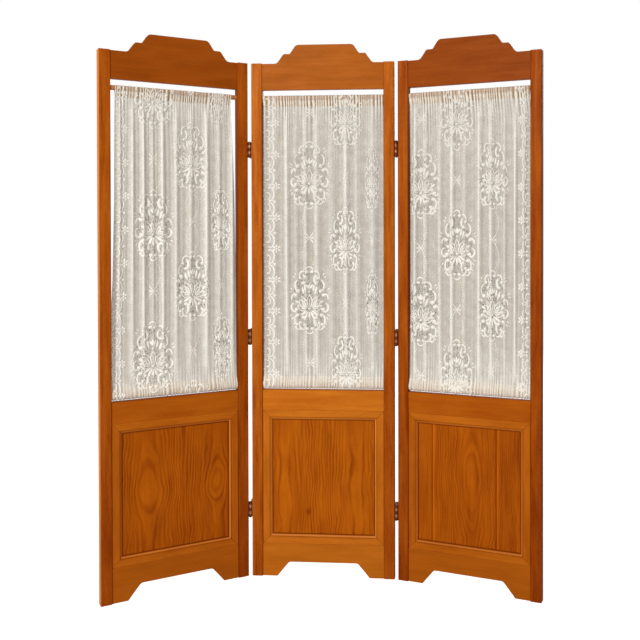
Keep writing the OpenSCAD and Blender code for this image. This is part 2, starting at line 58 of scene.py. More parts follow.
class Graph:
    """A node material that is built up from its shader."""

    def __init__(self, name, tree=None):
        if tree is None:
            self.material = bpy.data.materials.new(name)
            self.material.use_nodes = True
            tree = self.material.node_tree
        self.tree = tree
        self.shader = tree.nodes.get("Principled BSDF")

    def feed(self, socket, value):
        """Links a socket to another node's output, or sets its value."""
        if isinstance(value, bpy.types.NodeSocket):
            self.tree.links.new(value, socket)
        else:
            socket.default_value = value

    def set(self, node, inputs):
        for name, value in inputs.items():
            self.feed(node.inputs[name], value)

    def add(self, kind, inputs=None, **settings):
        node = self.tree.nodes.new("ShaderNode" + kind)
        for name, value in settings.items():
            setattr(node, name, value)
        self.set(node, inputs or {})
        return node

    def math(self, operation, *values, clamp=False):
        node = self.add("Math", dict(enumerate(values)), operation=operation, use_clamp=clamp)
        return node.outputs[0]

    def minus(self, first, second):
        return self.math("SUBTRACT", first, second)

    def times(self, first, second):
        return self.math("MULTIPLY", first, second)

    def plus_times(self, start, value, weight, clamp=False):
        return self.math("MULTIPLY_ADD", value, weight, start, clamp=clamp)

    def apart(self, first, second):
        return self.math("ABSOLUTE", self.minus(first, second))

    def shares(self, value, centre, reach):
        """How far a value lies from a centre, as a share of a reach."""
        return self.math("DIVIDE", self.minus(value, centre), reach)

    def square_sum(self, first, second):
        return self.plus_times(self.times(second, second), first, first)

    def hill(self, first, second):
        """1 where both distances are 0, and falling smoothly around."""
        return self.math("EXPONENT", self.times(self.square_sum(first, second), -1.0))

    def mix(self, factor, first, second):
        node = self.add("Mix", {"Factor": factor}, data_type="RGBA")
        colours = [s for s in node.inputs if s.type == "RGBA"]
        for socket, value in zip(colours, (first, second)):
            self.feed(socket, value)
        return next(s for s in node.outputs if s.type == "RGBA")

    def noise(self, vector, scale, detail=3.0, roughness=0.5, distortion=0.0):
        inputs = {"Vector": vector, "Scale": scale, "Detail": detail, "Roughness": roughness,
                  "Distortion": distortion}
        return self.add("TexNoise", inputs).outputs["Fac"]

    def spread(self, value, low, high, to_low=0.0, to_high=1.0):
        """Maps low..high to to_low..to_high and clamps."""
        inputs = {"Value": value, "From Min": low, "From Max": high, "To Min": to_low,
                  "To Max": to_high}
        return self.add("MapRange", inputs).outputs["Result"]

    def fading(self, value, full, end, amount=1.0):
        """The amount at full and before it, and 0 from the end on."""
        return self.spread(value, full, end, amount, 0.0)

    def stripe(self, value, begin, full, fade, end):
        """1 from full to fade, and 0 before the beginning and past the end."""
        return self.times(self.spread(value, begin, full), self.fading(value, fade, end))

    def swayed(self, tone, noises, weights):
        """A tone that each noise moves up and down by its weight."""
        for noise, weight in zip(noises, weights):
            tone = self.plus_times(tone, self.minus(noise, 0.5), weight)
        return tone

    def placed(self, vector, turn=0.0, offset=(0, 0, 0), scale=(1, 1, 1)):
        inputs = {"Vector": vector, "Rotation": (0, 0, turn), "Location": offset, "Scale": scale}
        return self.add("Mapping", inputs).outputs[0]

    def parts(self, vector):
        return self.add("SeparateXYZ", {"Vector": vector}).outputs[:3]

    def joined(self, x, y, z):
        return self.add("CombineXYZ", {"X": x, "Y": y, "Z": z}).outputs[0]

    def bump(self, height, strength, distance):
        inputs = {"Height": height, "Strength": strength, "Distance": distance}
        return self.add("Bump", inputs).outputs[0]

    def object_place(self):
        return self.add("TexCoord").outputs["Object"]


def linear(red, green, blue):
    """The linear colour of an sRGB colour of 0 to 255."""
    def one(c):
        c /= 255
        return c / 12.92 if c <= 0.04045 else ((c + 0.055) / 1.055) ** 2.4
    return (one(red), one(green), one(blue), 1.0)


# ---- camera, light and surroundings ----

# The camera as fitted to the photo: pixels, metres and degrees, and its sensor in millimetres.
PHOTO_SIZE = 640
FOCAL_PIXELS = 846.78
PRINCIPAL_POINT = (394.0, 241.8)
CAMERA_PLACE = (0.40758, -2.61499, 1.1235)
CAMERA_YAW, CAMERA_PITCH, CAMERA_ROLL = (math.radians(a) for a in (4.192, -0.556, 0.074))
SENSOR = 36.0
VIEW_DEPTH = 100.0

WHITE = (1.0, 1.0, 1.0, 1.0)
# How strongly the world lights the object.
AMBIENT = 0.38
# Each lamp's power in watts, place and size in metres.
LAMPS = {"key": (150.0, (-1.5, -4.1, 3.0), 1.5), "back": (95.0, (1.5, 4.1, 3.0), 2.5)}
LAMP_AIM = (0.0, 0.1, 0.9)
FLOOR_WIDTH = 40.0
FLOOR_COLOUR = (0.8, 0.8, 0.8, 1.0)
# What lifts the lit floor to white where it is seen.
FLOOR_GLOW = 0.75


def make_camera():
    data = bpy.data.cameras.new("camera")
    data.sensor_width = SENSOR
    data.sensor_fit = "HORIZONTAL"
    data.lens = FOCAL_PIXELS * SENSOR / PHOTO_SIZE
    data.shift_x = (PHOTO_SIZE / 2 - PRINCIPAL_POINT[0]) / PHOTO_SIZE
    data.shift_y = (PRINCIPAL_POINT[1] - PHOTO_SIZE / 2) / PHOTO_SIZE
    data.clip_end = VIEW_DEPTH
    camera = bpy.data.objects.new("camera", data)
    turn = Matrix.Rotation(CAMERA_YAW, 4, "Z") @ Matrix.Rotation(CAMERA_PITCH, 4, "X")
    upright = Matrix.Rotation(CAMERA_ROLL, 4, "Y") @ Matrix.Rotation(math.radians(90), 4, "X")
    camera.matrix_world = Matrix.Translation(CAMERA_PLACE) @ turn @ upright
    SCENE.collection.objects.link(camera)
    SCENE.camera = camera


def seen_white(g):
    """1 for the rays that show the white ground, and 0 for those that light the object."""
    path = g.add("LightPath")
    seen = g.math("MAXIMUM", path.outputs["Is Camera Ray"], path.outputs["Is Glossy Ray"])
    return g.math("MAXIMUM", seen, path.outputs["Is Transmission Ray"])


def make_world():
    world = bpy.data.worlds.new("studio")
    world.use_nodes = True
    world.node_tree.nodes.clear()
    SCENE.world = world
    g = Graph("studio", world.node_tree)
    strength = g.spread(seen_white(g), 0, 1, AMBIENT, 1.0)
    background = g.add("Background", {"Color": WHITE, "Strength": strength})
    g.add("OutputWorld", {"Surface": background.outputs[0]})


def make_floor():
    bpy.ops.mesh.primitive_plane_add(size=FLOOR_WIDTH)
    floor = bpy.context.object
    floor.name = "floor"
    g = Graph("floor")
    g.set(g.shader, {"Base Color": FLOOR_COLOUR, "Roughness": 0.9, "Specular IOR Level": 0.0,
                     "Emission Color": WHITE,
                     "Emission Strength": g.times(seen_white(g), FLOOR_GLOW)})
    floor.data.materials.append(g.material)


def make_lamps():
    for name, (power, place, size) in LAMPS.items():
        light = bpy.data.lights.new(name, "AREA")
        light.energy, light.size = power, size
        lamp = bpy.data.objects.new(name, light)
        SCENE.collection.objects.link(lamp)
        lamp.location = place
        aim = Vector(LAMP_AIM) - lamp.location
        lamp.rotation_euler = aim.to_track_quat("-Z", "Y").to_euler()


# ---- leaves ----

class Leaf:
    """One leaf's own frame: u runs along it, y through it and z up, in metres."""

    def __init__(self, index):
        self.name = LEAVES[index]
        self.index = index
        self.body = f"{self.name}_leaf"
        slide = next(j for j in frame["joints"] if j["name"] == f"{self.name}_top_rod_slide")
        self.along = (-slide["axis"][0], -slide["axis"][1])
        low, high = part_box(self.node("infill"))
        self.centre = ((low[0] + high[0]) / 2, (low[1] + high[1]) / 2)

    def node(self, piece):
        return f"{self.name}_leaf_{piece}"

    def world(self, points):
        """Row-frame points of points (u, y, z)."""
        c, s = self.along
        x = self.centre[0] + points[..., 0] * c - points[..., 1] * s
        y = self.centre[1] + points[..., 0] * s + points[..., 1] * c
        return np.stack([x, y, points[..., 2]], axis=-1)

    def local(self, points):
        """Points (u, y, z) of row-frame points."""
        c, s = self.along
        dx, dy = points[..., 0] - self.centre[0], points[..., 1] - self.centre[1]
        return np.stack([dx * c + dy * s, -dx * s + dy * c, points[..., 2]], axis=-1)

    def mesh_points(self, piece):
        """The points (u, y, z) of a CAD piece."""
        mesh = frame["nodes"][self.node(piece)].data
        points = np.empty(len(mesh.vertices) * 3)
        mesh.vertices.foreach_get("co", points)
        return self.local(points.reshape(-1, 3))

    def frame_vector(self, g):
        """The shader's coordinates in this leaf's frame."""
        c, s = self.along
        x, y = self.centre
        return g.placed(g.object_place(), turn=-math.atan2(s, c),
                        offset=(-(x * c + y * s), x * s - y * c, 0))


def finish_node(node, material):
    materials = frame["nodes"][node].data.materials
    if not len(materials):
        materials.append(material)
    for k in range(len(materials)):
        materials[k] = material


# ---- wood ----

# Each piece's kind, and whether its grain stands upright.
PIECES = {
    "left_stile": ("stile", True), "right_stile": ("stile", True), "crest_rail": ("crest", False),
    "mid_rail": ("rail", False), "foot_rail": ("foot", False), "top_board": ("board", False),
    "bottom_board": ("board", False), "left_board": ("board", True),
    "right_board": ("board", True), "infill": ("infill", True), "top_rod": ("rod", False),
    "bottom_rod": ("rod", False),
}
# Light and dark tone of each kind of piece on the middle leaf, as seen on screen, 0 to 255.
WOOD_TONES = {
    "stile": ((199, 108, 28), (152, 65, 5)),
    "crest": ((182, 96, 27), (155, 77, 13)),
    "rail": ((208, 118, 29), (182, 92, 14)),
    "board": ((209, 118, 29), (177, 92, 16)),
    "infill": ((205, 110, 14), (146, 62, 3)),
    "foot": ((200, 113, 28), (180, 98, 18)),
    "rod": ((196, 132, 78), (160, 100, 52)),
}
# Painted light and shade: how light each leaf is made beside the others, by kind of piece, lighter
# on the middle leaf that faces the light and darker on the turned outer ones.
LEAF_LIGHTING = {
    "left": {"stile": 0.85, "crest": 0.79, "rail": 0.79, "board": 0.88, "infill": 0.91,
             "foot": 0.79},
    "middle": {"stile": 1.02, "crest": 1.06, "rail": 1.04, "board": 1.03, "infill": 0.98,
               "foot": 0.99},
    "right": {"stile": 0.80, "crest": 0.72, "rail": 0.76, "board": 0.88, "infill": 0.92,
              "foot": 0.81},
}
PIECE_TONE = {"left_stile": 1.05, "right_stile": 0.97, "left_board": 0.94, "right_board": 0.94}
# How red, green and blue follow a tone: green and blue fall faster as the stain gets deeper.
STAIN_POWERS = (1.0, 1.7, 3.4)
# A stile is darker at its foot, and gets its own tone between these two heights.
FOOT_TONE = 0.8
FOOT_REACH = (0.10, 1.10)

# Streaks, mottle and pores: scale along and across the grain, detail, roughness and distortion.
GRAIN = ((5.0, 75.0, 4.0, 0.55, 0.3), (7.0, 26.0, 3.0, 0.5, 0.0), (70.0, 620.0, 2.0, 0.6, 0.0))
# How much each of them sways the tone, and how much they all do on a board that has a figure.
STILE_GRAIN = (1.9, 1.0, 0.9)
OTHER_GRAIN = (1.2, 1.5, 0.9)
FIGURED_GRAIN = 0.45
# How far the grain moves on from one piece to the next, and how many steps there are to a leaf.
GRAIN_SHIFT = (0.37, 1.91, 0.83)
LEAF_SEEDS = 20
VARNISH_ROUGHNESS = (0.36, 0.50)
PORE_BUMP = (0.15, 0.0006)

# Colours of 0 to 255 for the painted highlights and the painted shade on the wood.
PAINTED_HIGHLIGHT_COLOUR = (240, 158, 86)
PAINTED_SHADE_COLOUR = (104, 38, 4)
# Painted shade in the joint beside each stile's inner edge and along the top of the mid rail.
JOINT_SHADE = 0.70
JOINT_SHADE_REACH = 0.0030
# The outer arris of some stiles, painted lighter as a highlight on some and darker as shade on
# others: the strength and the colour.
ARRIS_LIGHT_AND_SHADE = {
    ("left", "left_stile"): (0.75, PAINTED_HIGHLIGHT_COLOUR), ("middle", "left_stile"): (0.45, PAINTED_HIGHLIGHT_COLOUR),
    ("right", "left_stile"): (0.45, PAINTED_SHADE_COLOUR), ("middle", "right_stile"): (0.60, PAINTED_SHADE_COLOUR),
    ("right", "right_stile"): (0.70, PAINTED_SHADE_COLOUR),
}
ARRIS_REACH = 0.0040
# Painted contact shade in the mitres and in the boards' outer joint, which begins outside the
# opening.
MITRE_SHADE = 0.50
MITRE_SHADE_REACH = 0.0020
MITRE_SHADE_START = 0.001
# The moulding gets a painted highlight on its round, strongest on the right board, and painted
# shade in its corner and by its bead.
# Each line begins, is full, begins to fade and ends so many metres outside the boards' opening.
MOULDING_HIGHLIGHT = {"left_board": 0.32, "right_board": 0.78, "top_board": 0.40, "bottom_board": 0.50,
          "infill": 0.0}
HIGHLIGHT_LINE = (0.0020, 0.0034, 0.0046, 0.0064)
CORNER_SHADE = 0.70
CORNER_SHADE_LINE = (-0.0034, -0.0008, 0.0010, 0.0024)
BEAD_SHADE = 0.40
BEAD_SHADE_LINE = (0.0062, 0.0078, 0.0088, 0.0104)
# How deep the infill sits in the boards' rebate.
INFILL_SEAT = 0.007

# The figure of each infill board, in metres: ridges (u) that its grain lines run beside, ovals
# (u, z, rise, reach in u, reach below, reach above) on them, and glued joints (u).
FIGURES = {
    "left": ((-0.087, 0.131),
             ((-0.087, 0.335, 0.022, 0.070, 0.075, 0.080),
              (0.131, 0.325, 0.040, 0.034, 0.050, 0.062)), ()),
    "middle": ((-0.128, 0.112),
               ((-0.118, 0.470, 0.004, 0.030, 0.050, 0.050),
                (0.106, 0.476, 0.005, 0.030, 0.060, 0.040),
                (-0.112, 0.240, 0.004, 0.040, 0.080, 0.070),
                (0.100, 0.300, 0.003, 0.040, 0.090, 0.060)), ()),
    "right": ((0.012, 0.300),
              ((0.012, 0.350, 0.022, 0.080, 0.150, 0.146),), (-0.118, 0.0927)),
}
# A small knot: where it is, how far it reaches and how dark it is.
KNOTS = {"middle": (-0.046, 0.212)}
KNOT_REACH = (0.007, 0.010)
KNOT_TONE = 0.7
# The slow and the quick waver of the lines: scale, detail, stretch upwards, and reach in metres.
WAVERS = ((16.0, 1.5, 0.55, 0.016), (60.0, 2.0, 0.4, 0.0025))
RIDGE_ROUND = 0.040
RIDGE_BLEND = 0.02
# How high the rings start on an oval, and how close they lie inside that.
OVAL_TOP = 0.016
INNER_RINGS = 0.55
# How far apart the lines lie, how they close up away from a ridge, and how thin and dark they are.
LINE_REACH = 0.014
LINE_POWER = 1.22
LINE_THIN = 1.8
LINE_STRENGTH = {"left": 0.95, "middle": 0.85, "right": 0.60}
# Patches of strong and weak lines: stretch upwards, scale, and the noise and strength it spans.
PATCH_STRETCH, PATCH_SCALE = 0.3, 22.0
PATCH_RANGE = (0.35, 0.65, 0.14, 0.44)
# The uneven tone of the rings: how fast it changes from ring to ring and upwards, and its range.
RING_CHANGE, HEIGHT_CHANGE = 2.2, 5.0
RING_RANGE = (0.25, 0.75, 0.16, 0.72)
# At a glued joint the lines jump and the tone steps, from a dark strip before it to a light one
# after it. Metres, but for the two tones.
GLUE_LINE = 0.0008
GLUE_JUMP = 0.031
GLUE_STEP = 0.10
GLUE_STRIP = 0.60
DARK_STRIP = 0.008
LIGHT_STRIP = 0.010


def toned(colour, factor):
    return tuple(c * factor ** p for c, p in zip(linear(*colour), STAIN_POWERS)) + (1.0,)


def beyond_opening(g, leaf, u, z):
    """How far a point lies outside the opening that the boards leave, sideways and up."""
    points = leaf.mesh_points("infill")
    low, high = points.min(axis=0) + INFILL_SEAT, points.max(axis=0) - INFILL_SEAT
    return [g.minus(g.apart(c, (low[k] + high[k]) / 2), (high[k] - low[k]) / 2)
            for c, k in ((u, 0), (z, 2))]


def painted_moulding_lines(g, leaf, piece, u, z):
    """The painted shade and painted highlight lines along and across the boards, each with its
    amount and colour.
    """
    sides = beyond_opening(g, leaf, u, z)
    beyond = g.math("MAXIMUM", *sides)
    board_width = float(np.ptp(leaf.mesh_points("top_board")[:, 2]))
    mitre, outer = (g.fading(off, 0.0, MITRE_SHADE_REACH)
                    for off in (g.apart(*sides), g.apart(beyond, board_width)))
    joints = g.times(g.math("MAXIMUM", mitre, outer), g.spread(beyond, 0.0, MITRE_SHADE_START))
    return ((joints, MITRE_SHADE, PAINTED_SHADE_COLOUR),
            (g.stripe(beyond, *HIGHLIGHT_LINE), MOULDING_HIGHLIGHT[piece], PAINTED_HIGHLIGHT_COLOUR),
            (g.stripe(beyond, *CORNER_SHADE_LINE), CORNER_SHADE, PAINTED_SHADE_COLOUR),
            (g.stripe(beyond, *BEAD_SHADE_LINE), BEAD_SHADE, PAINTED_SHADE_COLOUR))


def wood(leaf, piece, seed):
    """Stained, varnished wood of one piece, its grain along the piece, with painted shade and
    painted highlights at its joints, arrises and mouldings, and each leaf's painted light.
    """
    kind, upright = PIECES[piece]
    g = Graph(f"{leaf.name}_{piece}_wood")
    place = leaf.frame_vector(g)
    u, _, z = g.parts(place)
    points = leaf.mesh_points(piece)
    shift = [step * seed for step in GRAIN_SHIFT]
    noises = []
    for along, across, *form in GRAIN:
        scale = (across, across, along) if upright else (along, across, across)
        noises.append(g.noise(g.placed(place, offset=shift, scale=scale), 1.0, *form))
    streaks, _, pores = noises
    tone = g.swayed(0.5, noises, STILE_GRAIN if kind == "stile" else OTHER_GRAIN)
    if kind == "infill":
        tone = g.swayed(infill_figure(g, leaf, place), [tone], [FIGURED_GRAIN])

    # Each leaf's painted light and shade, times the piece's tone.
    factor = LEAF_LIGHTING[leaf.name].get(kind, 1.0) * PIECE_TONE.get(piece, 1.0)
    colour = g.mix(tone, *(toned(c, factor) for c in WOOD_TONES[kind]))

    # Blends a painted tint into the wood by an amount: the painted shade colour unless a highlight
    # colour is given.
    def painted_light(amount, tint=PAINTED_SHADE_COLOUR):
        return g.mix(amount, colour, toned(tint, factor))

    if kind == "stile":
        deep = g.mix(tone, *(toned(c, factor * FOOT_TONE) for c in WOOD_TONES[kind]))
        colour = g.mix(g.spread(z, *FOOT_REACH), deep, colour)
        inner, width = float(np.abs(points[:, 0]).min()), float(np.ptp(points[:, 0]))
        beside = g.minus(g.math("ABSOLUTE", u), inner)
        # Painted shade beside the stile's inner edge.
        colour = painted_light(g.fading(beside, 0.0, JOINT_SHADE_REACH, JOINT_SHADE))
        # Painted highlight on some outer arrises, painted shade on others, as the table gives.
        if (leaf.name, piece) in ARRIS_LIGHT_AND_SHADE:
            amount, tint = ARRIS_LIGHT_AND_SHADE[leaf.name, piece]
            colour = painted_light(g.spread(beside, width - ARRIS_REACH, width, 0.0, amount), tint)
    if kind == "rail":
        below = g.minus(float(points[:, 2].max()), z)
        # Painted shade along the mid rail's top edge.
        colour = painted_light(g.fading(below, 0.0, JOINT_SHADE_REACH, JOINT_SHADE))
    if kind in ("board", "infill"):
        # Painted shade and painted highlights along the moulding.
        for line, amount, tint in painted_moulding_lines(g, leaf, piece, u, z):
            colour = painted_light(g.times(line, amount), tint)

    g.set(g.shader, {"Base Color": colour, "Specular IOR Level": 0.03,
                     "Roughness": g.spread(streaks, 0.2, 0.8, *VARNISH_ROUGHNESS),
                     "Normal": g.bump(g.plus_times(streaks, pores, 0.5), *PORE_BUMP)})
    return g.material


def infill_figure(g, leaf, place):
    """Growth rings cut lengthwise: wavy lines up the board that bend round an oval here and there.
    0 is light and 1 is dark."""
    ridges, ovals, joints = FIGURES[leaf.name]
    board_u, _, z = g.parts(place)
    u = board_u
    for scale, detail, stretch, reach in WAVERS:
        noise = g.noise(g.placed(place, scale=(1, 1, stretch)), scale, detail)
        u = g.math("ADD", u, g.spread(noise, 0, 1, -reach, reach))
    away = []
    for ridge in ridges:
        off = g.minus(u, ridge)
        rounded = g.math("SQRT", g.plus_times(RIDGE_ROUND ** 2, off, off))
        away.append(g.minus(rounded, RIDGE_ROUND))
    field = g.times(g.math("SMOOTH_MIN", *away, RIDGE_BLEND), -1.0)
    for centre_u, centre_z, rise, reach, below, above in ovals:
        up = g.minus(z, centre_z)
        up = g.math("MAXIMUM", g.math("DIVIDE", up, above), g.math("DIVIDE", up, -below))
        field = g.plus_times(field, g.hill(g.shares(u, centre_u, reach), up), rise)
    run = g.minus(OVAL_TOP, field)
    run = g.math("MAXIMUM", run, g.times(run, -INNER_RINGS))
    strip = 0.0
    for joint in joints:
        past = g.spread(board_u, joint - GLUE_LINE, joint + GLUE_LINE)
        light = g.times(past, g.fading(board_u, joint, joint + LIGHT_STRIP))
        dark = g.times(g.minus(1.0, past), g.spread(board_u, joint - DARK_STRIP, joint))
        run = g.plus_times(run, past, GLUE_JUMP)
        strip = g.plus_times(strip, past, GLUE_STEP)
        strip = g.plus_times(strip, g.minus(dark, light), GLUE_STRIP)
    count = g.math("POWER", g.math("DIVIDE", run, LINE_REACH), LINE_POWER)
    wave = g.spread(g.math("COSINE", g.times(count, math.tau)), 1, -1)
    lines = g.times(g.math("POWER", wave, LINE_THIN), LINE_STRENGTH[leaf.name])
    ring_place = g.joined(g.times(count, RING_CHANGE), 0.0, g.times(z, HEIGHT_CHANGE))
    uneven = g.spread(g.noise(ring_place, 1.0, 3.0, 0.6), *RING_RANGE)
    patches = g.noise(g.placed(place, scale=(1, 1, PATCH_STRETCH)), PATCH_SCALE, 1.0)
    tone = g.plus_times(uneven, lines, g.spread(patches, *PATCH_RANGE))
    if leaf.name in KNOTS:
        from_knot = [g.shares(*parts) for parts in zip((u, z), KNOTS[leaf.name], KNOT_REACH)]
        tone = g.plus_times(tone, g.hill(*from_knot), KNOT_TONE)
    return g.math("ADD", tone, strip)


def dress_wood(leaf):
    for seed, piece in enumerate(PIECES, start=LEAF_SEEDS * leaf.index):
        finish_node(leaf.node(piece), wood(leaf, piece, seed))


# ---- hinges ----

# The light and dark of the plates on the leaves, and of the links, pins and screws: a lighter copy
# of the brass, as a painted highlight between the plates.
DARK_BRASS = ((112, 58, 38), (36, 15, 8))
LIT_BRASS = ((168, 116, 90), (84, 46, 31))


def brass(name, light, dark):
    g = Graph(name)
    place = g.object_place()
    stain = g.noise(place, 160.0, 4.0, 0.6)
    scratches = g.noise(g.placed(place, scale=(1, 1, 8)), 300.0, 2.0, 0.5)
    g.set(g.shader, {"Base Color": g.mix(g.spread(stain, 0.35, 0.7), linear(*light), linear(*dark)),
                     "Metallic": 0.85, "Roughness": g.spread(scratches, 0, 1, 0.26, 0.50),
                     "Normal": g.bump(scratches, 0.1, 0.0003)})
    return g.material


def dress_hinges():
    plate_metal = brass("dark_brass", *DARK_BRASS)
    lit_metal = brass("lit_brass", *LIT_BRASS)
    for node in frame["nodes"]:
        if "_hinge_" in node:
            on_leaf = node.endswith(("outer_plates", "inner_plates"))
            # The parts between the plates get the lighter brass as a painted highlight.
            finish_node(node, plate_metal if on_leaf else lit_metal)


# ---- lace: materials ----

# The repeat of the fabric, its selvage and a medallion's half width and height, in metres of
# flat cloth.
REPEAT = 0.410
BORDER_WIDTH = 0.064
MEDALLION = (0.064, 0.110)
# Colours of 0 to 255: the net with painted light on its folds and painted shade between them, the
# painted shade in its holes, the light end of a pocket's painted pleat shading, and the light and
# dark of the pattern.
NET_LIGHT = (240, 235, 223)
NET_DARK = {"left": (174, 163, 145), "middle": (158, 146, 126), "right": (158, 146, 126)}
HOLE_SHADE_COLOUR = (108, 100, 82)
POCKET_LIGHT = (252, 243, 227)
MOTIF_COLOURS = ((254, 250, 241), (240, 234, 222))
# A painted glow on the dense pattern that stands in for the light it lets through.
MOTIF_GLOW = (1.0, 0.98, 0.93, 1.0)
GLOW_STRENGTH = 0.085
# Threads, knots and clouds of the net: stretch down the cloth, scale, detail, roughness, and how
# much each sways the tone.
NET_NOISES = ((0.16, 230.0, 3.0, 0.7), (0.6, 260.0, 2.0, 0.6), (1.0, 38.0, 3.0, 0.6))
NET_SWAY = (1.1, 0.8, 0.6)
# Folds: how thin their painted light is, how light it makes them, and how dark the painted shade
# between them is.
# Then how light the fine pleats are painted on the sheet and on its pockets.
RIDGE_THIN = 2.2
RIDGE_LIGHT = 0.80
HOLLOW_DARK = 0.22
SHEET_PLEATS = 0.75
POCKET_PLEATS = 0.90
# Painted shade for the holes inside the wreaths: cells to a metre, how uneven they are, where a
# wreath's ground ends, and how strongly their shade is painted at two places down the cloth (from,
# to, there and there).
CELLS, CELL_CHANCE = 130.0, 0.75
GROUND_EDGE = (0.72, 0.98)
HOLE_SHADE_DOWN = (0.05, 0.60, 0.46, 0.90)
# How the pattern thins out upwards (from, to, cover there and there).
MOTIF_COVER = (1.10, 1.50, 1.0, 0.76)
# How much of a rod its pocket hides, and the dark end of the pocket's painted pleat shading over
# the rod and off it.
POCKETS = {"top": (0.50, (188, 162, 132), (152, 126, 94)),
           "bottom": (0.86, (204, 182, 158), (204, 192, 175))}
POCKET_COVER = 0.92
# Where the cloth begins to lie over the rod and fully does, in metres from the seam.
OVER_ROD = (0.015, 0.024)


def cloth_maps(g):
    """Map "flat" is the flat cloth, and "shape" is how far it stands out in folds and pleats."""
    return [g.add("UVMap", uv_map=name).outputs[0] for name in ("flat", "shape")]


def net_colour(g, flat, shape, light, dark, pleats):
    """Clouded machine net, with painted light where the cloth stands out and on its pleats, and
    painted shade between the folds. Gives its colour and its weave.
    """
    noises = [g.noise(g.placed(flat, scale=(1, stretch, 1)), *form)
              for stretch, *form in NET_NOISES]
    stand, pleat, _ = g.parts(shape)
    # Painted light on the folds and the pleats, and painted shade between the folds.
    ridge = g.math("POWER", g.spread(stand, -0.9, 0.9), RIDGE_THIN)
    tone = g.minus(g.swayed(0.5, noises, NET_SWAY), HOLLOW_DARK)
    tone = g.plus_times(tone, ridge, RIDGE_LIGHT)
    tone = g.plus_times(tone, pleat, pleats, clamp=True)
    return g.mix(tone, dark, light), noises[0], noises[1]


def finish_net(g, colour, alpha, weave):
    g.set(g.shader, {"Base Color": colour, "Roughness": 0.85, "Alpha": alpha,
                     "Specular IOR Level": 0.1, "Sheen Weight": 0.1, "Sheen Roughness": 0.5,
                     "Normal": g.bump(weave, 0.3, 0.0006)})
    return g.material


def net_material(cloth):
    """Net with painted shade for the holes of its ground inside the wreaths."""
    name = cloth.leaf.name
    g = Graph(f"lace_net_{name}")
    flat, shape = cloth_maps(g)
    across, down, _ = g.parts(flat)
    colour, threads, knots = net_colour(g, flat, shape, linear(*NET_LIGHT),
                                        linear(*NET_DARK[name]), SHEET_PLEATS)
    wreaths = []
    for a, b, stretch in cloth.columns:
        da = g.shares(across, a, MEDALLION[0] * stretch)
        db = g.math("WRAP", g.minus(down, b), REPEAT / 2, -REPEAT / 2)
        wreaths.append(g.square_sum(da, g.math("DIVIDE", db, MEDALLION[1])))
    near = g.math("MINIMUM", g.math("MINIMUM", *wreaths[:2]), wreaths[2])
    cells = g.add("TexVoronoi", {"Vector": flat, "Scale": CELLS, "Randomness": CELL_CHANCE},
                  feature="DISTANCE_TO_EDGE").outputs["Distance"]
    # Painted shade for the holes of the ground inside the wreaths; the net's alpha does not change
    # there.
    holes = g.times(g.fading(near, *GROUND_EDGE), g.spread(cells, 0.05, 0.26))
    hole_shade = g.times(holes, g.spread(down, *HOLE_SHADE_DOWN))
    colour = g.mix(hole_shade, colour, linear(*HOLE_SHADE_COLOUR))
    alpha = g.spread(g.math("ADD", threads, knots), 0.8, 1.2, 0.72, 1.0)
    return finish_net(g, colour, alpha, threads)


def pocket_material(cloth, end):
    """The doubled cloth of a pocket. The rod shows through where the cloth goes over it."""
    g = Graph(f"lace_{end}_band_{cloth.leaf.name}")
    flat, shape = cloth_maps(g)
    rod_cover, over_tone, off_tone = POCKETS[end]
    down, pleat = g.parts(flat)[1], g.parts(shape)[1]
    from_seam = g.times(down, -1.0) if end == "top" else g.minus(down, cloth.length)
    over_rod = g.spread(g.math("PINGPONG", from_seam, cloth.wrap / 2), *OVER_ROD)
    dark = g.mix(over_rod, linear(*off_tone), linear(*over_tone))
    colour, threads, _ = net_colour(g, flat, shape, linear(*POCKET_LIGHT), dark, POCKET_PLEATS)
    cover = g.spread(over_rod, 0, 1, POCKET_COVER, rod_cover)
    alpha = g.math("MAXIMUM", g.spread(g.plus_times(threads, pleat, 0.4), 0.3, 1.0), cover)
    return finish_net(g, colour, alpha, threads)


def motif_material():
    g = Graph("lace_motif")
    place = g.object_place()
    stitches = g.noise(place, 420.0, 2.0, 0.6)
    colour = g.mix(g.spread(stitches, 0.3, 0.7), *(linear(*c) for c in MOTIF_COLOURS))
    cover = g.times(g.spread(stitches, 0.30, 0.52, 0.72, 1.0),
                    g.spread(g.parts(place)[2], *MOTIF_COVER))
    # The emission is a painted glow, not a lamp.
    g.set(g.shader, {"Base Color": colour, "Roughness": 0.8, "Specular IOR Level": 0.1,
                     "Alpha": cover, "Sheen Weight": 0.2, "Normal": g.bump(stitches, 0.25, 0.0004),
                     "Emission Color": MOTIF_GLOW, "Emission Strength": GLOW_STRENGTH})
    return g.material


# ---- lace: the pattern's strokes, each a strip of points (x, z) in millimetres from its motif's
# centre, with widths in the same unit and angles in degrees ----

STROKE_WIDTH = 0.90
BEADS = 14
ROSETTE_PETALS = 6


def ribbon(x, z, width, across=1):
    """A strip of the given widths along a line of points."""
    dx, dz = np.gradient(x), np.gradient(z)
    length = np.hypot(dx, dz)
    side = STROKE_WIDTH * np.linspace(-0.5, 0.5, across + 1)
    return np.stack([x[:, None] - (dz / length * width)[:, None] * side,
                     z[:, None] + (dx / length * width)[:, None] * side], axis=-1)


def dot(x, z, radius):
    angle = np.linspace(0.15, math.pi - 0.15, 5)
    return ribbon(x - radius * np.cos(angle), np.full(5, float(z)), 2 * radius * np.sin(angle))


def scroll(x, z, radii, start, sweep, curl, width, steps=13):
    """A curled stroke round (x, z) that winds in towards both ends."""
    t = np.linspace(0, 1, steps)
    angle = np.radians(start + sweep * t)
    shrink = 1 - curl * np.abs(2 * t - 1) ** 2.5
    return ribbon(x + radii[0] * shrink * np.cos(angle), z + radii[1] * shrink * np.sin(angle),
                  width * (0.5 + 0.5 * np.sin(math.pi * t)))


